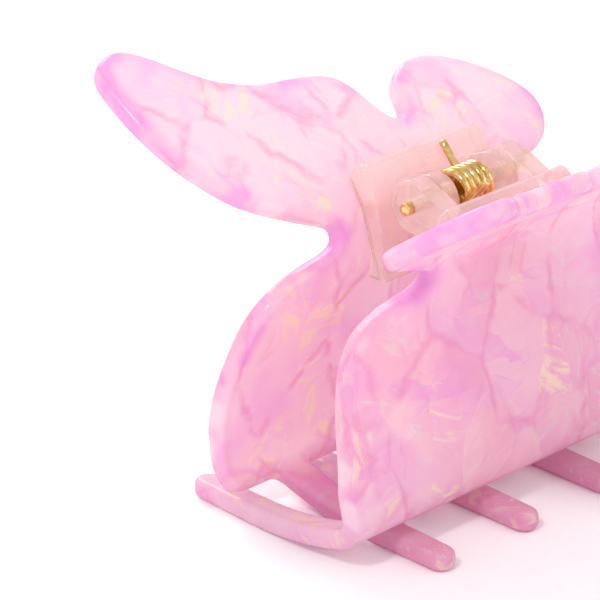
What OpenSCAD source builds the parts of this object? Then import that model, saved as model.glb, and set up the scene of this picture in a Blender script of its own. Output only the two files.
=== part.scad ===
// Butterfly claw clip: two mirrored sheet jaws, glued hinge blocks, a pin and a torsion spring.
// X runs along the hinge, the rear jaw is on +Y, and Z = 0 is the table under the closed teeth.

/* [Sheet] */
// Thickness of the flat sheet both jaws are cut and bent from
sheet_thickness = 3.2; // [2.4:0.1:4]

/* [Jaw profile] */
// Where the flat tooth run ends and the palm arc begins, past the middle plane
palm_start = 8.3; // [4:0.1:12]
// Radius of the shallow palm arc
palm_radius = 59; // [40:1:90]
// Angle the palm arc turns through
palm_sweep = 18; // [10:1:26]
// Radius of the bend between palm and wall
bend_radius = 6; // [4:0.5:9]
// Height of the upright band above the bend
upright_height = 3; // [1:0.5:8]
// Radius of the belly above the upright band
belly_radius = 34; // [20:1:50]
// Angle the belly leans in by
belly_lean = 15; // [8:1:22]
// Length of the straight wall between belly and waist
wall_length = 13; // [8:0.5:18]
// Radius of the waist curve that turns the wall out into the handle
waist_radius = 14; // [10:0.5:18]
// Slope of the handle above the table
handle_slope = 34; // [25:1:45]

/* [Teeth] */
// Distance between neighbouring teeth of one jaw
tooth_pitch = 18.2; // [14:0.1:22]
// Width of a tooth at its root
tooth_root_width = 5.6; // [4:0.1:8]
// Width of a tooth near its tip
tooth_tip_width = 4.4; // [3:0.1:6]
// Reach of the rear jaw's teeth past the middle plane
rear_tooth_reach = 23.2; // [18:0.1:28]
// Reach of the front jaw's teeth past the middle plane
front_tooth_reach = 22.3; // [18:0.1:28]
// Fillet between a tooth and the gap root
tooth_fillet = 1.4; // [0.5:0.1:2]
// Angle up the bend at which the gaps between teeth end
gap_root_angle = 29; // [25:0.2:45]

/* [Hinge] */
// Height of the hinge axis above the table
hinge_height = 47.7; // [40:0.1:55]
// Place of the hinge's middle along X, from the middle of the jaws
hinge_shift = -1.5; // [-3:0.1:3]
// Pin diameter
pin_diameter = 2.1; // [1.6:0.1:3]
// Pin length
pin_length = 26.2; // [24:0.2:34]
// Radial gap between the pin and the rear block's knuckles
running_gap = 0.07; // [0.02:0.01:0.1]
// Outside radius of the front block's lugs
lug_radius = 4.25; // [3.5:0.05:5]
// Outside radius of the rear block's knuckles
knuckle_radius = 4.1; // [3.5:0.05:5]
// Inner face of a lug, from the middle
lug_inner = 8.2; // [8:0.1:10]
// Outer face of a lug, from the middle
lug_outer = 11.8; // [11:0.1:14]
// Inner face of a knuckle, from the middle
knuckle_inner = 5; // [4.5:0.1:6]
// Outer face of a knuckle, from the middle
knuckle_outer = 7.9; // [7:0.1:8]
// Half the length of each hinge block's plate
plate_half_length = 13; // [12:0.5:18]
// How much lower the front block's plate ends than the rear block's
front_plate_drop = 1.8; // [0:0.1:2]
// Thickness of the glue film behind each hinge block
glue_film = 0.05; // [0.02:0.01:0.1]

/* [Spring] */
// Diameter of the spring wire
wire_diameter = 1.2; // [0.8:0.1:1.6]
// Mean radius of the spring coil
coil_radius = 3.05; // [2.2:0.05:3.2]
// Half the distance between the first and last coil centres
coil_half_length = 3.3; // [3:0.01:4.2]
// Length of each straight spring leg
leg_length = 8.6; // [8:0.1:14]
// Slope of the spring legs above the table
leg_slope = 48; // [40:0.1:55]
// Whole turns in the coil
coil_turns = 5; // [4:1:8]

/* [Hidden] */

$fn = 96;
half_t = sheet_thickness / 2;
tooth_half_root = tooth_root_width / 2;
tooth_half_tip = tooth_tip_width / 2;
// Handle length before its outline is cut, and a size larger than the whole clip
handle_blank = 36;
beyond = 60;
// Steps along each outline curve, and degrees per step round each bend
outline_steps = 4;
bend_step = 3;

// Profile key points, as [y, z], along the middle of the rear jaw's sheet
palm_centre = [-palm_start, half_t + palm_radius];
palm_end = palm_centre + palm_radius * [sin(palm_sweep), -cos(palm_sweep)];
bend_centre = palm_end + bend_radius * [-sin(palm_sweep), cos(palm_sweep)];
bend_end = bend_centre + [bend_radius, 0];
belly_centre = bend_end + [-belly_radius, upright_height];
belly_end = belly_centre + belly_radius * [cos(belly_lean), sin(belly_lean)];
wall_end = belly_end + wall_length * [-sin(belly_lean), cos(belly_lean)];
waist_centre = wall_end + waist_radius * [cos(belly_lean), sin(belly_lean)];
handle_start = waist_centre + waist_radius * [-sin(handle_slope), cos(handle_slope)];
// Body and handle outlines meet near this angle on the waist, and each cut runs a little past it
waist_split = 164;
split_overlap = 2;

// Catmull-Rom point between b and c
function between(a, b, c, d, t) =
    0.5 * (2 * b + (c - a) * t + (2 * a - 5 * b + 4 * c - d) * t * t + (3 * b - a - 3 * c + d) * t * t * t);

// Smooth open curve through the given points
function smooth(p) = [
    for (i = [0 : len(p) - 2])
        for (s = [0 : outline_steps - 1])
            between(p[max(i - 1, 0)], p[i], p[i + 1], p[min(i + 2, len(p) - 1)], s / outline_steps),
    p[len(p) - 1]
];

function flip_x(p) = [for (i = [len(p) - 1 : -1 : 0]) [-p[i][0], p[i][1]]];

// Half width of the waist between body and handle
waist_half = 20.1;

// Side edge of the body from the waist notch down, as [x, z]
shoulder_edge = [
    [waist_half, 42.3], [20.6, 40.9], [22.6, 40], [28.5, 38.8], [33.7, 36.5], [37.2, 32.8], [39.1, 28.2],
    [40.4, 22.5], [41.1, 15.5]
];
front_lower_edge = [[40.8, 12.5], [40.2, 9], [39.5, 5.5], [39.2, 2]];
rear_lower_edge = [[40.9, 12.5], [40.6, 9], [39.9, 6.2], [38.3, 4.2], [36, 3]];

// Handle outline, as [x, distance up the handle from where the waist curve ends]
wing_outline = [
    [-waist_half, -9.2], [-20.9, -7.8], [-25.9, -5.6], [-32.1, -2], [-36.4, 3], [-39.8, 9.8], [-41.7, 17],
    [-42.3, 24], [-41.8, 27.8], [-39.5, 30.2], [-35.6, 30.6], [-31.9, 28.2], [-28.4, 24.7], [-24.4, 21.1],
    [-20.3, 18.8], [-15.8, 17.4], [-11, 16.7], [-6.4, 15.8], [-3.4, 14.3], [-1.6, 11.7], [-0.4, 8.2],
    [0.8, 5.2], [2.6, 3.9], [4.2, 5.6], [5.6, 9.3], [8.6, 12], [12.6, 13.1], [16.8, 12.3], [20.4, 10.3],
    [24, 7.4], [27, 4], [28.8, 0.4], [29, -3], [27.6, -6], [24.8, -7.7], [20.9, -8.5], [waist_half, -9.2]
];

// Middle of the sheet round a bend, as [point, outward normal] pairs
function bend_path(centre, radius, from, to) = [
    for (i = [0 : ceil(abs(to - from) / bend_step)])
        let (a = from + (to - from) * i / ceil(abs(to - from) / bend_step))
            [centre + radius * [cos(a), sin(a)], (to > from ? 1 : -1) * [cos(a), sin(a)]]
];

function all_but_first(v) = [for (i = [1 : len(v) - 1]) v[i]];

// Middle of the sheet from past the tooth tips to the end of the handle blank
sheet_path = concat(
    [[[-beyond / 2, half_t], [0, -1]]],
    bend_path(palm_centre, palm_radius, -90, palm_sweep - 90),
    all_but_first(bend_path(bend_centre, bend_radius, palm_sweep - 90, 0)),
    bend_path(belly_centre, belly_radius, 0, belly_lean),
    bend_path(waist_centre, waist_radius, 180 + belly_lean, 90 + handle_slope),
    [[
        handle_start + handle_blank * [cos(handle_slope), sin(handle_slope)],
        [sin(handle_slope), -cos(handle_slope)]
    ]]
);

// Turn a [y, z] profile into a slab lying across X
module across(width) {
    rotate([90, 0, 90]) linear_extrude(height = width, center = true) children();
}

// The bent sheet before any outline is cut
module bent_blank() {
    last = len(sheet_path) - 1;
    across(2 * beyond) {
        polygon(concat(
            [for (p = sheet_path) p[0] + half_t * p[1]],
            [for (i = [last : -1 : 0]) sheet_path[i][0] - half_t * sheet_path[i][1]]
        ));
    }
}

// Everything outside the body's outline, below the waist
module body_offcut(lower_edge) {
    side = concat(smooth(concat(shoulder_edge, lower_edge)), [lower_edge[len(lower_edge) - 1] - [1, 4]]);
    split = waist_centre + 70 * [cos(waist_split - split_overlap), sin(waist_split - split_overlap)];
    intersection() {
        across(2 * beyond + 2) polygon([waist_centre, split, [split[0], -2], [waist_centre[0], -2]]);
        rotate([90, 0, 0]) {
            linear_extrude(height = 2 * beyond, center = true) {
                difference() {
                    square(2 * beyond + 4, center = true);
                    polygon(concat([[waist_half, beyond]], side, flip_x(side), [[-waist_half, beyond]]));
                }
            }
        }
    }
}

// Everything outside the handle's outline, above the waist
module handle_offcut() {
    split = waist_centre + 70 * [cos(waist_split + split_overlap), sin(waist_split + split_overlap)];
    intersection() {
        across(2 * beyond + 2) {
            polygon([
                waist_centre, split, [split[0], 2 * beyond], [beyond, 2 * beyond], [beyond, waist_centre[1]]
            ]);
        }
        translate([0, handle_start[0], handle_start[1]]) {
            rotate([handle_slope, 0, 0]) {
                linear_extrude(height = 50, center = true) {
                    difference() {
                        square(2 * beyond + 4, center = true);
                        polygon(concat(
                            [[-waist_half, -beyond]],
                            smooth(wing_outline),
                            [[waist_half, -beyond]]
                        ));
                    }
                }
            }
        }
    }
}

// One tooth seen from above: filleted root, tapered sides and a round tip
module tooth_outline(x, reach) {
    root = bend_centre[0] + (bend_radius + half_t) * sin(gap_root_angle);
    tip = -reach + tooth_half_tip;
    side = concat(
        [[tooth_half_root + tooth_fillet, root + 1]],
        [for (a = [0 : 15 : 90]) [
            tooth_half_root + tooth_fillet * (1 - sin(a)),
            root - tooth_fillet * (1 - cos(a))
        ]],
        [for (a = [0 : 15 : 90]) [tooth_half_tip * cos(a), tip - tooth_half_tip * sin(a)]]
    );
    translate([x, 0]) polygon(concat(side, flip_x(side)));
}

function tooth_places(end_teeth) =
    end_teeth ? [for (i = [-2 : 2]) i * tooth_pitch] : [for (i = [-2 : 1]) (i + 0.5) * tooth_pitch];

// The gaps between the teeth, ending square to the sheet part of the way round the bend
module tooth_gaps(end_teeth) {
    root = bend_centre + 30 * [sin(gap_root_angle), -cos(gap_root_angle)];
    intersection() {
        across(2 * beyond + 2) polygon([bend_centre, root, [-beyond, root[1]], [-beyond, bend_centre[1]]]);
        linear_extrude(height = 50, center = true) {
            difference() {
                square(2 * beyond + 4, center = true);
                for (x = tooth_places(end_teeth)) {
                    tooth_outline(x, end_teeth ? front_tooth_reach : rear_tooth_reach);
                }
            }
        }
    }
}

// A whole jaw in the rear jaw's place, cut from the bent sheet
module jaw(end_teeth) {
    difference() {
        bent_blank();
        body_offcut(end_teeth ? front_lower_edge : rear_lower_edge);
        handle_offcut();
        tooth_gaps(end_teeth);
    }
}

module rear_jaw() {
    color([0.93, 0.6, 0.72]) jaw(false);
}

module front_jaw() {
    color([0.93, 0.6, 0.72]) mirror([0, 1, 0]) jaw(true);
}

plate_bottom = 34.2;
plate_top = 52.1;
plate_corner = 1.5;

// Slope of the waist at the plate's top, as the y that goes with a step of 1 in z
top_slope = 0.42;

// Front and rounded top of a hinge block's plate, as [y, z] from its bottom corner to the sheet behind it
plate_low = [[4.3, plate_bottom], [4.4, 38], [5, 43]];
plate_high = [[7.9, 50.9], [8.6, 51.8], [9.4, plate_top], [10.4, 51.8], [11.6, 50.6], [12.5, 49.6]];
function plate_front(drop) = concat(
    plate_low,
    [[6.5 - 0.2 * drop, 47.5 - 0.6 * drop]],
    [for (p = plate_high) p - drop * [top_slope, 1]]
);

// Plate glued to the inside of the waist, in the rear block's place, ending lower by drop
module hinge_plate(drop) {
    top = plate_top - drop;
    intersection() {
        across(2 * plate_half_length) {
            polygon(concat(smooth(plate_front(drop)), [[20, 49.6 - drop], [20, plate_bottom]]));
        }
        rotate([90, 0, 0]) {
            linear_extrude(height = 80, center = true) {
                for (x = [-1, 1] * (plate_half_length - plate_corner)) {
                    for (z = [plate_bottom + plate_corner, top - plate_corner]) {
                        translate([x, z]) circle(r = plate_corner);
                    }
                }
                translate([-plate_half_length, plate_bottom + plate_corner]) {
                    square([2 * plate_half_length, top - plate_bottom - 2 * plate_corner]);
                }
                translate([-plate_half_length + plate_corner, plate_bottom]) {
                    square([2 * (plate_half_length - plate_corner), top - plate_bottom]);
                }
            }
        }
    }
}

// Where an ear's tapering top runs into the plate, as [y, z] from the hinge axis
ear_root = [10, 0.6];

// Pair of round ears reaching from the plate to the hinge axis, thinner above where they leave the plate
module ears(inner, outer, radius) {
    tangent = atan2(ear_root[1], ear_root[0]) + acos(radius / norm(ear_root));
    for (side = [-1, 1]) {
        translate([side * (inner + outer) / 2, 0, hinge_height]) {
            across(outer - inner) {
                circle(r = radius);
                polygon([
                    [0, 0], [0, -radius], [ear_root[0], -radius], ear_root,
                    radius * [cos(tangent), sin(tangent)]
                ]);
            }
        }
    }
}

// Hinge block in the rear block's place
module hinge_block(inner, outer, radius, bore_radius, drop) {
    translate([hinge_shift, 0, 0]) {
        difference() {
            union() {
                hinge_plate(drop);
                ears(inner, outer, radius);
            }
            translate([0, waist_centre[0], waist_centre[1]]) {
                rotate([0, 90, 0]) cylinder(r = waist_radius + half_t + glue_film, h = 80, center = true);
            }
            translate([0, 0, hinge_height]) {
                rotate([0, 90, 0]) cylinder(r = bore_radius, h = 80, center = true);
            }
        }
    }
}

module rear_hinge_block() {
    color([0.95, 0.62, 0.7, 0.6]) {
        hinge_block(knuckle_inner, knuckle_outer, knuckle_radius, pin_diameter / 2 + running_gap, 0);
    }
}

module front_hinge_block() {
    color([0.95, 0.62, 0.7, 0.6]) {
        mirror([0, 1, 0]) {
            hinge_block(lug_inner, lug_outer, lug_radius, pin_diameter / 2, front_plate_drop);
        }
    }
}

module hinge_pin() {
    color([0.85, 0.65, 0.3]) {
        translate([hinge_shift, 0, hinge_height]) {
            rotate([0, 90, 0]) cylinder(d = pin_diameter, h = pin_length, center = true);
        }
    }
}

// Spring wire: rear leg, coil and front leg as one swept tube
wire_sides = 8;
rings_per_turn = 16;
coil_start = leg_slope - 90;
coil_sweep = 360 * coil_turns + 180 - 2 * (90 - leg_slope);
coil_rings = ceil(coil_sweep / 360 * rings_per_turn);

function on_coil(u) = [
    coil_half_length * (1 - 2 * u),
    coil_radius * cos(coil_start - coil_sweep * u),
    coil_radius * sin(coil_start - coil_sweep * u)
];
function wire_heading(u) = [0, sin(coil_start - coil_sweep * u), -cos(coil_start - coil_sweep * u)];

// Ring of wire around a centre; the wire's direction lies in the YZ plane
function wire_ring(centre, heading) = [
    for (k = [0 : wire_sides - 1])
        centre + wire_diameter / 2 * (
            cos(360 * k / wire_sides) * [1, 0, 0] + sin(360 * k / wire_sides) * [0, -heading[2], heading[1]]
        )
];

module torsion_spring() {
    rings = concat(
        [wire_ring(on_coil(0) - leg_length * wire_heading(0), wire_heading(0))],
        [for (i = [0 : coil_rings]) wire_ring(on_coil(i / coil_rings), wire_heading(i / coil_rings))],
        [wire_ring(on_coil(1) + leg_length * wire_heading(1), wire_heading(1))]
    );
    points = [for (ring = rings) for (p = ring) p];
    last = len(rings) - 1;
    sides = [
        for (i = [0 : last - 1])
            for (k = [0 : wire_sides - 1])
                let (n = (k + 1) % wire_sides)
                    for (f = [
                        [i * wire_sides + k, i * wire_sides + n, (i + 1) * wire_sides + n],
                        [i * wire_sides + k, (i + 1) * wire_sides + n, (i + 1) * wire_sides + k]
                    ]) f
    ];
    ends = [
        [for (k = [wire_sides - 1 : -1 : 0]) k],
        [for (k = [0 : wire_sides - 1]) last * wire_sides + k]
    ];
    color([0.88, 0.7, 0.35]) {
        translate([hinge_shift, 0, hinge_height]) {
            polyhedron(points = points, faces = concat(sides, ends), convexity = 10);
        }
    }
}

rear_jaw();
front_jaw();
rear_hinge_block();
front_hinge_block();
hinge_pin();
torsion_spring();
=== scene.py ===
"""Butterfly claw clip: marbled acetate jaws, clear hinge blocks, gold pin and spring.

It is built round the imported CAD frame. Lengths are in millimetres until mesh_object() turns them into
metres. A jaw is first drawn flat, as a cut sheet with coordinates x along the hinge and s up the sheet,
and is then bent along the same profile as the CAD jaw.
"""

import math

import bpy
import numpy as np
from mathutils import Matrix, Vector
from mathutils.geometry import delaunay_2d_cdt


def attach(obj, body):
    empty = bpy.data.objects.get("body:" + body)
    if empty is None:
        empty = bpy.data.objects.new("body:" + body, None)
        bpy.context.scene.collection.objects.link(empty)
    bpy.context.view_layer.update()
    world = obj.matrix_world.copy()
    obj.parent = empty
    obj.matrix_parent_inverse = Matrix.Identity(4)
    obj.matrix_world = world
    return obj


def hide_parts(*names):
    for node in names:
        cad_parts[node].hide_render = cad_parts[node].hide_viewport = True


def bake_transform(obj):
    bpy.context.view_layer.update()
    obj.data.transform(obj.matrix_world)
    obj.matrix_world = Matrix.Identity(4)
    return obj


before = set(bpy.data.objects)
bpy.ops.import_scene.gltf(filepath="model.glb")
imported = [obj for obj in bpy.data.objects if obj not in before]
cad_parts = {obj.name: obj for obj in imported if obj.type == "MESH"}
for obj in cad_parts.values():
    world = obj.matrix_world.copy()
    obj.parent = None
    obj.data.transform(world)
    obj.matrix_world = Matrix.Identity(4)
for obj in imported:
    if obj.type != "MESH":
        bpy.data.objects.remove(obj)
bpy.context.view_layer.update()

MM = 0.001

# Sheet and bends, as in the CAD jaw
SHEET_T = 3.2
HALF_T = SHEET_T / 2
EDGE_RADIUS = 1.15
PALM_START = 8.3
PALM_RADIUS = 59.0
PALM_SWEEP = math.radians(18)
BEND_RADIUS = 6.0
UPRIGHT = 3.0
BELLY_RADIUS = 34.0
LEAN = math.radians(15)
WALL = 13.0
WAIST_RADIUS = 14.0
SLOPE = math.radians(34)
HANDLE_BLANK = 40.0
GAP_ROOT = math.radians(29)
HINGE_Z = 47.7
HINGE_X = -1.5

# Teeth
TOOTH_PITCH = 18.2
TOOTH_HALF_ROOT = 2.8
TOOTH_HALF_TIP = 2.2
REAR_TOOTH_REACH = 23.2
FRONT_TOOTH_REACH = 22.3
TOOTH_FILLET = 1.4

# Outlines, as in the CAD jaw: body side edge as (x, z), handle as (x, distance up the handle)
SHOULDER_EDGE = [
    (20.6, 40.9), (22.6, 40), (28.5, 38.8), (33.7, 36.5), (37.2, 32.8), (39.1, 28.2), (40.4, 22.5),
    (41.1, 15.5), (40.9, 12.5),
]
WING_OUTLINE = [
    (-20.1, -9.2), (-20.9, -7.8), (-25.9, -5.6), (-32.1, -2), (-36.4, 3), (-39.8, 9.8), (-41.7, 17),
    (-42.3, 24), (-41.8, 27.8), (-39.5, 30.2), (-35.6, 30.6), (-31.9, 28.2), (-28.4, 24.7), (-24.4, 21.1),
    (-20.3, 18.8), (-15.8, 17.4), (-11, 16.7), (-6.4, 15.8), (-3.4, 14.3), (-1.6, 11.7), (-0.4, 8.2),
    (0.8, 5.2), (2.6, 3.9), (4.2, 5.6), (5.6, 9.3), (8.6, 12), (12.6, 13.1), (16.8, 12.3), (20.4, 10.3),
    (24, 7.4), (27, 4), (28.8, 0.4), (29, -3), (27.6, -6), (24.8, -7.7), (20.9, -8.5), (20.1, -9.2),
]

# Hinge blocks, as in the CAD: plate profile as (y, z), and each pair of ears as inner face, outer face
# and radius
PLATE_LOW = [(4.3, 34.2), (4.4, 38), (5, 43)]
PLATE_MIDDLE = (6.5, 47.5)
PLATE_HIGH = [(7.9, 50.9), (8.6, 51.8), (9.4, 52.1), (10.4, 51.8), (11.6, 50.6), (12.5, 49.6)]
FRONT_PLATE_DROP = 1.8
PLATE_EDGE_RADIUS = 0.7
PLATE_HALF = 13.0
KNUCKLES = (5.0, 7.9, 4.1)
LUGS = (8.2, 11.8, 4.25)
EAR_EDGE_RADIUS = 0.5
EAR_ROUND_FROM = math.radians(68)
EAR_ROOT_Y = (7.3, 9.3)
EAR_ROOT_RISE = 0.6
BORE_RADIUS = 1.12
BORE_TOOL_HALF = 20
GLUE_FILM = 0.05
SHARP_ANGLE = math.radians(40)

# Spring and pin, as in the CAD
WIRE_RADIUS = 0.6
COIL_RADIUS = 3.05
COIL_HALF = 3.3
LEG_LENGTH = 8.6
LEG_SLOPE = math.radians(48)
COIL_TURNS = 5
PIN_RADIUS = 1.05
PIN_HALF = 13.1
PIN_CHAMFER = 0.18
WIRE_CHAMFER = 0.12


# ---------------------------------------------------------------- the bent sheet

class SheetPath:
    """The middle line of the bent sheet in the YZ plane, as a chain of straight runs and arcs."""

    def __init__(self):
        self.runs = []
        self.s = -PALM_START
        self.point = np.array([-PALM_START, HALF_T])
        self.angle = 0.0
        self.add(PALM_RADIUS * PALM_SWEEP, 1 / PALM_RADIUS)
        self.bend_s = self.s
        self.add(BEND_RADIUS * (math.pi / 2 - PALM_SWEEP), 1 / BEND_RADIUS)
        self.add(UPRIGHT, 0)
        self.add(BELLY_RADIUS * LEAN, 1 / BELLY_RADIUS)
        self.add(WALL, 0)
        self.waist_centre = self.point + WAIST_RADIUS * np.array([math.cos(LEAN), math.sin(LEAN)])
        self.add(WAIST_RADIUS * (math.pi / 2 + LEAN - SLOPE), -1 / WAIST_RADIUS)
        self.handle_s = self.s
        self.add(HANDLE_BLANK, 0)

    def add(self, length, curvature):
        """Continues the path by a run of constant curvature."""
        self.runs.append((self.s, self.point, self.angle, curvature))
        self.point, self.angle = self._along(self.point, self.angle, curvature, length)
        self.s += length

    @staticmethod
    def _along(point, angle, curvature, length):
        """Where a run that starts at a point and an angle ends."""
        turned = angle + curvature * length
        if curvature == 0:
            return point + length * np.array([math.cos(angle), math.sin(angle)]), turned
        offset = np.array([math.sin(turned) - math.sin(angle), math.cos(angle) - math.cos(turned)])
        return point + offset / curvature, turned

    def at(self, s):
        """Points and directions of travel, as two arrays of (y, z), at distances s up the sheet."""
        points = np.stack([s, np.full_like(s, HALF_T)], axis=1)
        headings = np.zeros_like(s)
        for start, point, angle, curvature in self.runs:
            use = s >= start
            d = s[use] - start
            turned = angle + curvature * d
            headings[use] = turned
            if curvature == 0:
                points[use] = point + d[:, None] * np.array([math.cos(angle), math.sin(angle)])
            else:
                step = np.stack([np.sin(turned) - math.sin(angle), math.cos(angle) - np.cos(turned)], axis=1)
                points[use] = point + step / curvature
        return points, np.stack([np.cos(headings), np.sin(headings)], axis=1)

    def s_of_z(self, z):
        """Distance up the sheet where the rising wall reaches height z."""
        s = np.linspace(self.bend_s, self.handle_s, 2000)
        return float(np.interp(z, self.at(s)[0][:, 1], s))

    def s_of_handle(self, b):
        """Distance up the sheet for a distance b along the handle, from the end of the waist bend."""
        if b >= 0:
            return self.handle_s + b
        return self.handle_s - WAIST_RADIUS * math.asin(min(1, -b / WAIST_RADIUS))


PATH = SheetPath()
ROOT_S = PATH.bend_s + BEND_RADIUS * (GAP_ROOT - PALM_SWEEP)


def smooth(points, steps=10):
    """Catmull-Rom curve through an open row of points."""
    p = np.array(points, float)
    p = np.vstack([p[:1], p, p[-1:]])
    t = np.arange(steps)[:, None] / steps
    parts = []
    for a, b, c, d in zip(p, p[1:], p[2:], p[3:]):
        square = (2 * a - 5 * b + 4 * c - d) * t**2
        cube = (3 * b - a - 3 * c + d) * t**3
        parts.append(0.5 * (2 * b + (c - a) * t + square + cube))
    return np.vstack(parts + [p[-1:]])


def tooth_edge(x, reach):
    """One tooth from its right-hand gap root round the tip to its left-hand one."""
    turn = np.radians(np.arange(0, 91, 10))
    tip_s = -reach + TOOTH_HALF_TIP
    fillet = np.stack([
        TOOTH_HALF_ROOT + TOOTH_FILLET * (1 - np.sin(turn)),
        ROOT_S - TOOTH_FILLET * (1 - np.cos(turn)),
    ], axis=1)
    tip = np.stack([TOOTH_HALF_TIP * np.cos(turn), tip_s - TOOTH_HALF_TIP * np.sin(turn)], axis=1)
    right = np.vstack([fillet, tip])
    left = right[::-1] * [-1, 1]
    return np.vstack([right, left[1:]]) + [x, 0]


def resample(loop, spacing):
    """Closed polyline resampled at an even spacing."""
    closed = np.vstack([loop, loop[:1]])
    step = np.linalg.norm(np.diff(closed, axis=0), axis=1)
    length = np.concatenate([[0], np.cumsum(step)])
    count = int(round(length[-1] / spacing))
    at = np.arange(count) * length[-1] / count
    return np.stack([np.interp(at, length, closed[:, i]) for i in range(2)], axis=1)


def flat_outline(end_teeth):
    """The cut edge of a jaw's flat sheet, clockwise in (x, s)."""
    wing = smooth([(x, PATH.s_of_handle(b)) for x, b in WING_OUTLINE])
    side = [tuple(wing[-1])] + [(x, PATH.s_of_z(z)) for x, z in SHOULDER_EDGE]
    if end_teeth:
        reach = FRONT_TOOTH_REACH
        places = [i * TOOTH_PITCH for i in range(2, -3, -1)]
        side += [(40.2, PATH.s_of_z(9)), (39.5, PATH.s_of_z(6)), (39.2, ROOT_S - 2)]
    else:
        reach = REAR_TOOTH_REACH
        places = [(i + 0.5) * TOOTH_PITCH for i in range(1, -3, -1)]
        side += [(40.6, PATH.s_of_z(9)), (40, ROOT_S + 1.9), (38.8, ROOT_S + 0.5), (37, ROOT_S)]
    right = smooth(side)
    teeth = np.vstack([tooth_edge(x, reach) for x in places])
    if end_teeth:
        # The outer sides of the end teeth run straight on from the side edges, with no gap root
        root_points = 11
        teeth = teeth[root_points:-root_points]
    return np.vstack([wing[:-1], right, teeth, (right * [-1, 1])[::-1][:-1]])


def inside(points, loop):
    """Which points lie inside a closed polyline."""
    result = np.zeros(len(points), bool)
    x, y = points[:, 0], points[:, 1]
    for (ax, ay), (bx, by) in zip(loop, np.roll(loop, -1, axis=0)):
        crosses = (ay > y) != (by > y)
        result[crosses] ^= x[crosses] < (bx - ax) * (y[crosses] - ay) / (by - ay) + ax
    return result


def fill_points(loop, spacing):
    """An even grid of points inside a loop, clear of its edge, and their distances from it."""
    low, high = loop.min(0), loop.max(0)
    xs = np.arange(low[0], high[0], spacing)
    ys = np.arange(low[1], high[1], spacing * math.sqrt(3) / 2)
    grid = np.array([(x + (j % 2) * spacing / 2, y) for j, y in enumerate(ys) for x in xs])
    grid = grid[inside(grid, loop)]
    near = np.sqrt([np.min(np.sum((loop - p) ** 2, axis=1)) for p in grid])
    clear = near > 0.6 * spacing
    return grid[clear], near[clear]


def mesh_object(name, verts, faces, normals=None, flat=None, rim=None):
    """A mesh object from millimetre coordinates, with smooth shading.

    normals are exact ones; flat holds each point's place in the flat sheet, and rim its distance from the
    cut edge.
    """
    mesh = bpy.data.meshes.new(name)
    mesh.from_pydata([tuple(v) for v in np.asarray(verts) * MM], [], faces)
    mesh.validate()
    for polygon in mesh.polygons:
        polygon.use_smooth = True
    if flat is not None:
        attribute = mesh.attributes.new("flat", "FLOAT_VECTOR", "POINT")
        attribute.data.foreach_set("vector", np.asarray(flat, np.float32).ravel())
        attribute = mesh.attributes.new("rim", "FLOAT", "POINT")
        attribute.data.foreach_set("value", np.asarray(rim, np.float32))
    if normals is not None:
        mesh.normals_split_custom_set_from_vertices([tuple(n) for n in normals])
    obj = bpy.data.objects.new(name, mesh)
    bpy.context.scene.collection.objects.link(obj)
    return obj


def bent_jaw(name, end_teeth, side, edge_spacing=0.5, fill_spacing=0.9, round_steps=5):
    """A jaw cut from flat sheet with rounded edges, then bent; side is 1 for the rear and -1 for the front."""
    loop = resample(flat_outline(end_teeth), edge_spacing)[::-1]
    along = np.roll(loop, -1, axis=0) - np.roll(loop, 1, axis=0)
    along /= np.linalg.norm(along, axis=1)[:, None]
    outward = np.stack([along[:, 1], -along[:, 0]], axis=1)
    count = len(loop)

    # Rings from the middle of the cut edge in over the rounded corner, for one face of the sheet
    rings = []
    for k in range(round_steps + 1):
        a = math.pi / 2 * k / round_steps
        inset = EDGE_RADIUS * (1 - math.cos(a))
        height = HALF_T - EDGE_RADIUS * (1 - math.sin(a))
        rings.append((loop - outward * inset, height, math.cos(a), math.sin(a)))
    fill, fill_depth = fill_points(rings[-1][0], fill_spacing)
    inner = np.vstack([rings[-1][0], fill])
    edges = [(i, (i + 1) % count) for i in range(count)]
    found, _, triangles, origins, _, _ = delaunay_2d_cdt(
        [Vector(p) for p in inner], edges, [list(range(count))], 1, 1e-6
    )
    source = [o[0] for o in origins]
    triangles = [[source[i] for i in t] for t in triangles]

    flat, tilt, rim = [], [], []
    for ring, height, across, up in rings:
        for face in (1, -1):
            rim.append(np.full(count, EDGE_RADIUS * (1 - across)))
            flat.append(np.column_stack([ring, np.full(count, face * height)]))
            tilt.append(np.column_stack([outward * across, np.full(count, face * up)]))
    for face in (1, -1):
        rim.append(fill_depth + EDGE_RADIUS)
        flat.append(np.column_stack([fill, np.full(len(fill), face * HALF_T)]))
        tilt.append(np.column_stack([np.zeros((len(fill), 2)), np.full(len(fill), face)]))
    flat, tilt, rim = np.vstack(flat), np.vstack(tilt), np.concatenate(rim)

    faces = []
    for k in range(round_steps):
        for f in (0, 1):
            a, b = (2 * k + f) * count, (2 * k + 2 + f) * count
            for i in range(count):
                j = (i + 1) % count
                quad = (a + i, a + j, b + j, b + i)
                faces.append(quad if f == 0 else quad[::-1])
    faces += [(count + i, count + (i + 1) % count, (i + 1) % count, i) for i in range(count)]
    last = 2 * round_steps * count
    fills = 2 * (round_steps + 1) * count
    for f in (0, 1):
        on_ring, on_fill = last + f * count, fills + f * len(fill) - count
        for t in triangles:
            ids = [i + (on_ring if i < count else on_fill) for i in t]
            faces.append(tuple(ids if f == 0 else ids[::-1]))

    # Bend: the flat sheet's upper face is the outside of the jaw
    point, heading = PATH.at(flat[:, 1])
    face_out = np.stack([heading[:, 1], -heading[:, 0]], axis=1)
    yz = point + flat[:, 2:3] * face_out
    verts = np.column_stack([flat[:, 0], side * yz[:, 0], yz[:, 1]])
    normal_yz = tilt[:, 1:2] * heading + tilt[:, 2:3] * face_out
    normals = np.column_stack([tilt[:, 0], side * normal_yz[:, 0], normal_yz[:, 1]])
    if side > 0:
        faces = [f[::-1] for f in faces]
    return mesh_object(name, verts, faces, normals, flat, rim)


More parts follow.
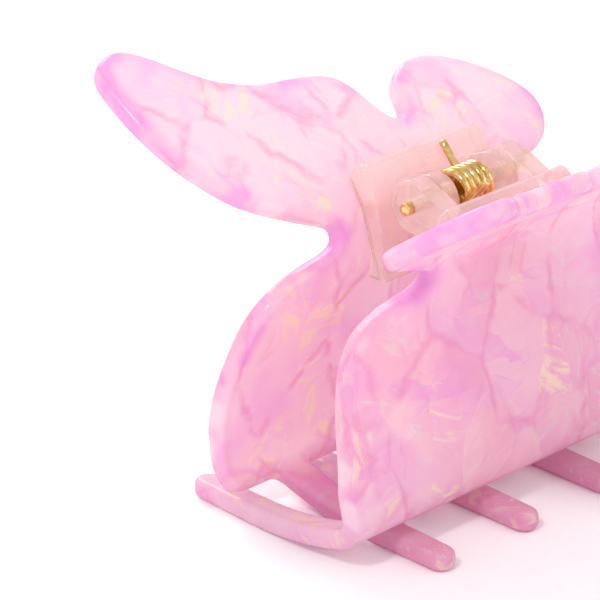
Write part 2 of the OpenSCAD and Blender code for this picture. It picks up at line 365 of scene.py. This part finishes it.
# ---------------------------------------------------------------- hinge pieces

def slab(name, outline, x0, x1, round_radius, side, spacing=0.3, round_steps=4):
    """An anticlockwise (y, z) outline carried along X from x0 to x1, with rounded rims.

    With side -1 it faces -Y.
    """
    loop = resample(np.array(outline, float), spacing)
    along = np.roll(loop, -1, axis=0) - np.roll(loop, 1, axis=0)
    along /= np.linalg.norm(along, axis=1)[:, None]
    outward = np.stack([along[:, 1], -along[:, 0]], axis=1)
    turns = np.linspace(math.pi / 2, 0, round_steps + 1)
    stations = [
        (x0 + round_radius * (1 - math.sin(a)), round_radius * (1 - math.cos(a))) for a in turns
    ]
    stations += [(x0 + x1 - x, inset) for x, inset in stations[::-1]]
    count = len(loop)
    verts = np.vstack([
        np.column_stack([np.full(count, HINGE_X + x), loop - outward * inset]) for x, inset in stations
    ])
    verts[:, 1] *= side
    faces = [tuple(range(count))[::-1], tuple((len(stations) - 1) * count + i for i in range(count))]
    for k in range(len(stations) - 1):
        for i in range(count):
            j = (i + 1) % count
            faces.append((k * count + i, k * count + j, (k + 1) * count + j, (k + 1) * count + i))
    if side < 0:
        faces = [f[::-1] for f in faces]
    return mesh_object(name, verts, faces)


def combine(base, others, operation):
    """Joins other solids to a base, or cuts them from it, and removes them."""
    for other in others:
        step = base.modifiers.new(other.name, "BOOLEAN")
        step.operation = operation
        step.object = other
        step.solver = "EXACT"
    bpy.context.view_layer.update()
    depsgraph = bpy.context.evaluated_depsgraph_get()
    shaped = bpy.data.meshes.new_from_object(base.evaluated_get(depsgraph))
    base.modifiers.clear()
    base.data = shaped
    for other in others:
        bpy.data.objects.remove(other)


def hinge_block(name, ears, side, drop):
    """A plate that follows the waist and ends lower by drop, with a pair of bored round ears."""
    inner, outer, radius = ears
    centre = PATH.waist_centre
    reach = WAIST_RADIUS + HALF_T + GLUE_FILM
    middle = [(PLATE_MIDDLE[0] - 0.2 * drop, PLATE_MIDDLE[1] - 0.6 * drop)]
    upper = [(y - 0.42 * drop, z - drop) for y, z in PLATE_HIGH]
    front = [p for p in smooth(PLATE_LOW + middle + upper) if math.dist(p, centre) > reach]
    low = math.pi + math.asin((centre[1] - front[0][1]) / reach)
    high = math.atan2(front[-1][1] - centre[1], front[-1][0] - centre[0])
    back = [centre + reach * np.array([math.cos(a), math.sin(a)]) for a in np.linspace(low, high, 24)]
    outline = np.vstack([back, front[::-1]])
    base = slab(name, outline, -PLATE_HALF, PLATE_HALF, PLATE_EDGE_RADIUS, side)

    turns = np.linspace(EAR_ROUND_FROM, 1.5 * math.pi, 50)
    round_end = [(radius * math.cos(a), radius * math.sin(a)) for a in turns]
    root = [(EAR_ROOT_Y[0], -radius), (EAR_ROOT_Y[1], EAR_ROOT_RISE)]
    ear = np.array(round_end + root) + [0, HINGE_Z]
    spans = [(-outer, -inner), (inner, outer)]
    pair = [slab(f"{name}_ear", ear, x0, x1, EAR_EDGE_RADIUS, side) for x0, x1 in spans]
    combine(base, pair, "UNION")
    tool, bore = BORE_TOOL_HALF, BORE_RADIUS
    rod = [(-tool, 0), (-tool, bore), (tool, bore), (tool, 0)]
    combine(base, [lathe_x(f"{name}_bore", rod, 48)], "DIFFERENCE")
    for polygon in base.data.polygons:
        polygon.use_smooth = True
    base.data.set_sharp_from_angle(angle=SHARP_ANGLE)
    return base


def lathe_x(name, profile, sides):
    """A solid turned about the hinge axis from (x, radius) points that start and end on the axis."""
    ring = [
        (math.cos(2 * math.pi * k / sides), math.sin(2 * math.pi * k / sides)) for k in range(sides)
    ]
    inner = profile[1:-1]
    verts, faces = [(profile[0][0], 0, HINGE_Z)], []
    for x, r in inner:
        verts += [(x, r * c, HINGE_Z + r * s) for c, s in ring]
    verts.append((profile[-1][0], 0, HINGE_Z))
    end = len(verts) - 1
    for k in range(sides):
        n = (k + 1) % sides
        faces.append((0, 1 + n, 1 + k))
        for i in range(len(inner) - 1):
            a, b = 1 + i * sides, 1 + (i + 1) * sides
            faces.append((a + k, a + n, b + n, b + k))
        faces.append((end, end - sides + k, end - sides + n))
    return mesh_object(name, verts, faces)


def hinge_pin():
    """The straight pin, with softly chamfered ends."""
    x, r, c = PIN_HALF, PIN_RADIUS, PIN_CHAMFER
    half = [(x, 0), (x, r - 2 * c), (x - 0.3 * c, r - c), (x - c, r - 0.3 * c), (x - 2 * c, r), (x / 2, r)]
    left = [(-a, b) for a, b in half]
    return lathe_x("hinge_pin_turned", [(HINGE_X + a, b) for a, b in left + half[::-1]], 40)


def torsion_spring(sides=16, rings_per_turn=40):
    """One round wire: a straight leg, the coil, and the other straight leg, with blunt rounded ends."""
    start = LEG_SLOPE - math.pi / 2
    sweep = 2 * math.pi * COIL_TURNS + math.pi - 2 * (math.pi / 2 - LEG_SLOPE)
    count = int(sweep / (2 * math.pi) * rings_per_turn)

    def coil(u):
        """Centre and heading of the wire at a fraction u of the coil."""
        a = start - sweep * u
        centre = np.array([COIL_HALF * (1 - 2 * u), COIL_RADIUS * math.cos(a), COIL_RADIUS * math.sin(a)])
        return centre, np.array([0, math.sin(a), -math.cos(a)])

    leg_steps = 8
    first, heading = coil(0)
    stations = [(first - heading * LEG_LENGTH, heading, WIRE_RADIUS - WIRE_CHAMFER)]
    for i in range(leg_steps):
        reach = (LEG_LENGTH - WIRE_CHAMFER) * (1 - i / leg_steps)
        stations.append((first - heading * reach, heading, WIRE_RADIUS))
    stations += [(*coil(i / count), WIRE_RADIUS) for i in range(count + 1)]
    final, heading = coil(1)
    for i in range(1, leg_steps + 1):
        reach = (LEG_LENGTH - WIRE_CHAMFER) * i / leg_steps
        stations.append((final + heading * reach, heading, WIRE_RADIUS))
    stations.append((final + heading * LEG_LENGTH, heading, WIRE_RADIUS - WIRE_CHAMFER))

    verts, faces = [], []
    across = np.array([1, 0, 0])
    for centre, heading, radius in stations:
        up = np.array([0, -heading[2], heading[1]])
        for k in range(sides):
            a = 2 * math.pi * k / sides
            ring = radius * (math.cos(a) * across + math.sin(a) * up)
            verts.append(centre + ring + [HINGE_X, 0, HINGE_Z])
    for i in range(len(stations) - 1):
        for k in range(sides):
            n = (k + 1) % sides
            faces.append((i * sides + k, i * sides + n, (i + 1) * sides + n, (i + 1) * sides + k))
    faces.append(tuple(range(sides - 1, -1, -1)))
    faces.append(tuple((len(stations) - 1) * sides + k for k in range(sides)))
    return mesh_object("torsion_spring_wire", verts, faces)


# ---------------------------------------------------------------- materials

class Nodes:
    """Short calls for building one material's node tree."""

    def __init__(self, name):
        self.material = bpy.data.materials.new(name)
        self.material.use_nodes = True
        self.tree = self.material.node_tree
        self.tree.nodes.clear()
        self.output = self.tree.nodes.new("ShaderNodeOutputMaterial")

    def add(self, kind, inputs=None, **settings):
        node = self.tree.nodes.new("ShaderNode" + kind)
        for key, value in settings.items():
            setattr(node, key, value)
        for key, value in (inputs or {}).items():
            if isinstance(value, bpy.types.NodeSocket):
                self.tree.links.new(value, node.inputs[key])
            else:
                node.inputs[key].default_value = value
        return node

    def math(self, operation, a, b=0.0):
        return self.add("Math", {0: a, 1: b}, operation=operation).outputs[0]

    def vector(self, operation, a, b=(0, 0, 0)):
        return self.add("VectorMath", {0: a, 1: b}, operation=operation).outputs[0]

    def mix(self, factor, a, b):
        node = self.add("Mix", data_type="RGBA")
        for key, value in (("Factor_Float", factor), ("A_Color", a), ("B_Color", b)):
            socket = next(s for s in node.inputs if s.identifier == key)
            if isinstance(value, bpy.types.NodeSocket):
                self.tree.links.new(value, socket)
            else:
                socket.default_value = value
        return next(s for s in node.outputs if s.identifier == "Result_Color")

    def ramp(self, factor, stops):
        node = self.add("ValToRGB", {"Fac": factor})
        elements = node.color_ramp.elements
        while len(elements) < len(stops):
            elements.new(0.5)
        for element, (position, colour) in zip(elements, stops):
            element.position = position
            element.color = colour
        return node.outputs["Color"]

    def span(self, value, low, high, to_low=0.0, to_high=1.0):
        node = self.add("MapRange", {0: value, 1: low, 2: high, 3: to_low, 4: to_high})
        return node.outputs[0]

    def both(self, a, b):
        """Product of two masks."""
        return self.math("MULTIPLY", a, b)

    def noise(self, place, scale, **more):
        """Noise value in 0 to 1 at a place; more holds Detail or Distortion."""
        return self.add("TexNoise", {"Vector": place, "Scale": scale, **more}).outputs["Fac"]

    def finish(self, shader):
        self.tree.links.new(shader, self.output.inputs["Surface"])
        return self.material


def srgb(red, green, blue):
    """Linear colour from the usual 0 to 255 values."""
    def linear(c):
        c /= 255
        return c / 12.92 if c <= 0.04045 else ((c + 0.055) / 1.055) ** 2.4
    return (linear(red), linear(green), linear(blue), 1)


ROSE = srgb(247, 184, 212)
DEEP_ROSE = srgb(236, 152, 196)
PALE_PINK = srgb(253, 218, 228)
MAGENTA = srgb(242, 168, 238)
LAVENDER = srgb(240, 206, 252)
PEACH = srgb(254, 220, 212)
CREAM_GLINT = srgb(255, 248, 214)
PEARL = srgb(255, 242, 245)
MINT_GLINT = srgb(230, 248, 232)
VIOLET = srgb(240, 154, 236)
RIM_SHADE = srgb(236, 164, 216)
TOOTH_SHADE = srgb(234, 164, 190)


class Chips:
    """One layer of polygonal flakes: a random tone per flake, a painted sheen that slopes across it, and its
    edge.
    """

    def __init__(self, n, place, cell, stretch, turn, seed):
        moved = n.add("Mapping", {
            "Vector": place,
            "Location": (seed, 2.3 * seed, 0.7 * seed),
            "Rotation": (0.15, 0.2, turn),
            "Scale": (1 / cell, stretch / cell, 1.3 / cell),
        }).outputs[0]
        pattern = {"Vector": moved, "Scale": 1.0}
        flake = n.add("TexVoronoi", {**pattern, "Smoothness": 0.1}, feature="SMOOTH_F1")
        edge = n.add("TexVoronoi", pattern, feature="DISTANCE_TO_EDGE")
        tone = n.add("SeparateColor", {0: flake.outputs["Color"]})
        self.tones = [tone.outputs[i] for i in range(3)]
        slope = n.vector("SUBTRACT", flake.outputs["Color"], (0.5, 0.5, 0.5))
        local = n.vector("SUBTRACT", moved, flake.outputs["Position"])
        dot = n.add("VectorMath", {0: slope, 1: local}, operation="DOT_PRODUCT").outputs["Value"]
        # Painted sheen: a tone that slopes across each flake in a random direction
        self.shade = n.span(dot, -0.22, 0.22)
        self.edge = edge.outputs["Distance"]


def acetate(name, seed, tooth_shade):
    """Translucent pink acetate sheet with pearly polygonal chips of several pinks set in it.

    tooth_shade is how much painted shade deepens the colour on the teeth.
    """
    n = Nodes(name)
    flat = n.add("Attribute", attribute_name="flat").outputs["Vector"]
    rim = n.add("Attribute", attribute_name="rim").outputs["Fac"]
    wobble = n.add("TexNoise", {"Vector": flat, "Scale": 0.3, "Detail": 3.0}).outputs["Color"]
    shift = n.vector("SCALE", n.vector("SUBTRACT", wobble, (0.5, 0.5, 0.5)))
    shift.node.inputs["Scale"].default_value = 2.2
    place = n.vector("ADD", flat, shift)
    patchy = n.noise(flat, 0.13, Detail=2.0)
    patchy_too = n.noise(n.vector("ADD", flat, (40, 7, 0)), 0.16)

    big = Chips(n, place, cell=15.0, stretch=0.62, turn=0.5, seed=seed)
    small = Chips(n, place, cell=8.0, stretch=0.5, turn=-0.8, seed=seed + 3.1)
    shard = Chips(n, place, cell=9.0, stretch=2.6, turn=1.9, seed=seed + 7.7)

    palette = [
        (0.0, ROSE), (0.2, PALE_PINK), (0.36, MAGENTA), (0.46, PALE_PINK), (0.6, ROSE), (0.74, PEARL),
        (0.86, LAVENDER), (0.94, PEACH),
    ]
    # Each flake's tone slopes from rose to pearl across it: a painted sheen
    sheen_ramp = [(0.1, ROSE), (0.9, PEARL)]
    big_colour = n.mix(0.5, n.ramp(big.tones[0], palette), n.ramp(big.shade, sheen_ramp))
    small_colour = n.mix(0.5, n.ramp(small.tones[0], palette), n.ramp(small.shade, sheen_ramp))
    colour = n.mix(n.span(patchy, 0.35, 0.65, 0.1, 0.6), big_colour, small_colour)
    colour = n.mix(0.15, colour, PALE_PINK)
    shard_on = n.both(n.span(shard.tones[1], 0.5, 0.6), n.span(patchy_too, 0.42, 0.55, 0.0, 0.5))
    shard_colour = n.ramp(shard.tones[0], [(0.0, PEARL), (0.4, MAGENTA), (0.7, PALE_PINK)])
    colour = n.mix(shard_on, colour, shard_colour)

    # Painted light: paler handles and a paler inner face, and painted shade on the rear teeth
    split = n.add("SeparateXYZ", {0: flat})
    up, outward = split.outputs[1], split.outputs[2]
    # Painted light: the handles are paler where light falls on their tops
    colour = n.mix(n.span(up, PATH.handle_s - 10, PATH.handle_s + 4, 0.0, 0.3), colour, PEARL)
    # Painted light: the inner face is paler, standing in for light let through the sheet from behind
    colour = n.mix(n.span(outward, HALF_T, -HALF_T, 0.0, 0.62), colour, PEARL)
    # Painted shade on the teeth, which lie low under the other jaw
    colour = n.mix(n.span(up, ROOT_S + 2, ROOT_S - 4, 0.0, tooth_shade), colour, TOOTH_SHADE)

    # Pearl striations: soft streaks whose direction changes from flake to flake; their pale pearl is partly
    # the sheet's own pearl flakes and partly painted sheen, and the cream and mint streaks are painted glints
    angle = n.math("MULTIPLY", small.tones[2], 6.0)
    turned = n.add("VectorRotate", {"Vector": flat, "Angle": angle}).outputs[0]
    streak = n.noise(n.vector("MULTIPLY", turned, (0.42, 0.11, 0.3)), 1.0, Detail=4.0, Distortion=1.2)
    pearly = n.both(n.span(streak, 0.45, 0.68, 0.0, 0.5), n.span(small.tones[1], 0.2, 0.8))
    colour = n.mix(pearly, colour, PEARL)
    # Painted glints in cream and mint along some of the streaks
    warm_glint = n.both(n.span(streak, 0.52, 0.64), n.span(small.tones[1], 0.6, 0.7, 0.0, 0.8))
    colour = n.mix(warm_glint, colour, CREAM_GLINT)
    cool_glint = n.both(n.span(streak, 0.54, 0.66), n.span(small.tones[1], 0.38, 0.28, 0.0, 0.4))
    colour = n.mix(cool_glint, colour, MINT_GLINT)

    # Soft darker rose lines between some of the flakes
    seam = n.both(n.span(big.edge, 0.0, 0.05, 0.5, 0.0), n.span(patchy_too, 0.4, 0.55))
    colour = n.mix(seam, colour, DEEP_ROSE)
    fine_seam = n.both(n.span(small.edge, 0.0, 0.07, 0.3, 0.0), n.span(patchy, 0.48, 0.62))
    colour = n.mix(fine_seam, colour, DEEP_ROSE)

    # Clouds of hotter pink; painted shade deepening the rim, with painted violet spots there, for light
    # passing along the thick cut edge; and pearl patches painted as highlights on the edge
    cloud = n.noise(flat, 0.075, Detail=2.0)
    colour = n.mix(n.span(cloud, 0.54, 0.66, 0.0, 0.3), colour, MAGENTA)
    # Painted shade: the rim is deepened as light passing along the thick cut edge makes it look
    colour = n.mix(n.span(rim, 0.0, 2.6, 0.32, 0.0), colour, RIM_SHADE)
    spots = n.noise(flat, 0.13, Detail=1.0)
    # Painted violet spots on the rim, for the same light passing along the edge
    violet = n.both(n.span(rim, 1.0, 3.4, 0.45, 0.0), n.span(spots, 0.53, 0.62))
    on_panel = n.span(up, ROOT_S, ROOT_S + 6)
    colour = n.mix(n.both(violet, on_panel), colour, VIOLET)
    # Painted highlights: pale pearl patches near the edge of the panel
    edge_highlight = n.both(n.span(rim, 0.6, 2.4, 0.7, 0.0), n.span(spots, 0.46, 0.38))
    colour = n.mix(n.both(edge_highlight, on_panel), colour, PEARL)

    # Faint ripples and uneven polish; half of the light is scattered through the sheet
    ripple = n.noise(flat, 0.22, Detail=1.0)
    bump = n.add("Bump", {"Height": ripple, "Strength": 0.12, "Distance": 0.25 * MM})
    polish = n.noise(flat, 0.6, Detail=3.0)
    shader = n.add("BsdfPrincipled", {
        "Base Color": colour,
        "Roughness": n.span(polish, 0.3, 0.7, 0.05, 0.11),
        "IOR": 1.48,
        "Normal": bump.outputs[0],
    })
    glow = n.add("BsdfTranslucent", {"Color": colour, "Normal": bump.outputs[0]})
    sheet = n.add("MixShader", {0: 0.5, 1: shader.outputs[0], 2: glow.outputs[0]})
    return n.finish(sheet.outputs[0])


def clear_plastic(name):
    """Clear pink moulded plastic with soft flow marks; it casts almost no shadow on what is behind it."""
    n = Nodes(name)
    where = n.add("TexCoord").outputs["Object"]
    flow = n.noise(where, 260.0, Detail=2.0, Distortion=1.5)
    colour = n.mix(n.span(flow, 0.35, 0.7), srgb(255, 248, 246), srgb(255, 236, 234))
    from_axis = n.vector("MULTIPLY", n.vector("SUBTRACT", where, (0, 0, HINGE_Z * MM)), (0, 1, 1))
    distance = n.add("VectorMath", {0: from_axis}, operation="LENGTH").outputs["Value"]
    bump = n.add("Bump", {"Height": flow, "Strength": 0.12, "Distance": 0.2 * MM})
    shader = n.add("BsdfPrincipled", {
        "Base Color": colour,
        "Roughness": n.span(flow, 0.3, 0.7, 0.03, 0.08),
        "IOR": 1.49,
        "Transmission Weight": n.span(distance, 4.4 * MM, 6.0 * MM, 0.7, 0.6),
        "Normal": bump.outputs[0],
    })
    clear = n.add("BsdfTransparent", {"Color": srgb(255, 243, 241)})
    shadow_ray = n.add("LightPath").outputs["Is Shadow Ray"]
    seen_through = n.span(shadow_ray, 0.0, 1.0, 0.4, 1.0)
    lit = n.add("MixShader", {0: seen_through, 1: shader.outputs[0], 2: clear.outputs[0]})
    return n.finish(lit.outputs[0])


def gold(name):
    """Polished pale gold plating with faint drawing marks and slightly darker patches."""
    n = Nodes(name)
    where = n.add("TexCoord").outputs["Object"]
    drawn = n.add("Mapping", {"Vector": where, "Scale": (1500.0, 6000.0, 6000.0)}).outputs[0]
    marks = n.noise(drawn, 1.0, Detail=3.0)
    patches = n.noise(where, 700.0, Detail=2.0)
    colour = n.mix(n.span(patches, 0.35, 0.7), srgb(240, 208, 144), srgb(210, 164, 94))
    bump = n.add("Bump", {"Height": marks, "Strength": 0.08, "Distance": 0.05 * MM})
    shader = n.add("BsdfPrincipled", {
        "Base Color": colour,
        "Metallic": 1.0,
        "Roughness": n.span(marks, 0.3, 0.7, 0.1, 0.2),
        "Normal": bump.outputs[0],
    })
    return n.finish(shader.outputs[0])


def paper(name):
    """Plain white floor with a trace of paper grain."""
    n = Nodes(name)
    where = n.add("TexCoord").outputs["Object"]
    grain = n.noise(where, 900.0, Detail=2.0)
    colour = n.mix(n.span(grain, 0.3, 0.7), (0.93, 0.93, 0.93, 1), (0.95, 0.95, 0.95, 1))
    shader = n.add("BsdfPrincipled", {
        "Base Color": colour,
        "Roughness": 0.55,
        "Specular IOR Level": 0.25,
    })
    return n.finish(shader.outputs[0])


# ---------------------------------------------------------------- build

def dress(obj, material, node):
    """Gives a piece its material and slot, and lets it stand for a CAD node."""
    obj.data.materials.append(material)
    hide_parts(node)


rear_sheet = bent_jaw("rear_jaw_sheet", end_teeth=False, side=1)
dress(rear_sheet, acetate("acetate_rear", seed=4.0, tooth_shade=0.6), "rear_jaw")
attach(rear_sheet, "rear_half")

front_sheet = bent_jaw("front_jaw_sheet", end_teeth=True, side=-1)
dress(front_sheet, acetate("acetate_front", seed=9.0, tooth_shade=0.0), "front_jaw")
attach(front_sheet, "front_half")

clear = clear_plastic("clear_pink_plastic")
for end, ears, side, drop in (("rear", KNUCKLES, 1, 0), ("front", LUGS, -1, FRONT_PLATE_DROP)):
    block = hinge_block(f"{end}_block_moulded", ears, side, drop)
    dress(block, clear, f"{end}_hinge_block")
    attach(block, f"{end}_half")

plating = gold("gold_plating")
pin = hinge_pin()
dress(pin, plating, "hinge_pin")
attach(pin, "front_half")

spring = torsion_spring()
dress(spring, plating, "torsion_spring")
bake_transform(spring)


# ---------------------------------------------------------------- stage, light and camera

def floor(size=6.0):
    """A square of white paper, a hair below the lowest tooth."""
    half = size / 2
    corners = [(-half, -half, 0), (half, -half, 0), (half, half, 0), (-half, half, 0)]
    mesh = bpy.data.meshes.new("floor")
    mesh.from_pydata(corners, [], [(0, 1, 2, 3)])
    obj = bpy.data.objects.new("floor", mesh)
    obj.location.z = -0.02 * MM
    bpy.context.scene.collection.objects.link(obj)
    mesh.materials.append(paper("white_paper"))


def area_light(name, azimuth, elevation, distance, size, power):
    """A soft square lamp aimed at the clip, placed by its direction from the clip."""
    light = bpy.data.lights.new(name, "AREA")
    light.size = size
    light.energy = power
    obj = bpy.data.objects.new(name, light)
    az, el = math.radians(azimuth), math.radians(elevation)
    offset = distance * Vector((math.sin(az) * math.cos(el), -math.cos(az) * math.cos(el), math.sin(el)))
    obj.location = Vector((0, 0, 0.035)) + offset
    obj.rotation_euler = (-offset).to_track_quat("-Z", "Y").to_euler()
    bpy.context.scene.collection.objects.link(obj)


def camera():
    """From the clip's near left, looking down, with a long lens."""
    data = bpy.data.cameras.new("camera")
    data.lens = 239.9
    data.sensor_width = 36
    data.clip_end = 20
    obj = bpy.data.objects.new("camera", data)
    place = Vector((-0.4086, -0.3857, 0.2841))
    target = Vector((-0.0199, 0.0169, 0.0291))
    obj.location = place
    obj.rotation_euler = (target - place).to_track_quat("-Z", "Y").to_euler()
    bpy.context.scene.collection.objects.link(obj)
    bpy.context.scene.camera = obj


floor()
camera()
area_light("key", azimuth=-75, elevation=50, distance=0.9, size=0.1, power=2.2)
area_light("fill", azimuth=10, elevation=30, distance=1.0, size=0.5, power=1.2)
area_light("back", azimuth=165, elevation=35, distance=0.9, size=0.5, power=4.4)

world = bpy.data.worlds.new("studio")
world.use_nodes = True
background = world.node_tree.nodes["Background"]
background.inputs["Color"].default_value = (1, 1, 1, 1)
background.inputs["Strength"].default_value = 0.84
bpy.context.scene.world = world
bpy.context.scene.view_settings.view_transform = "Standard"
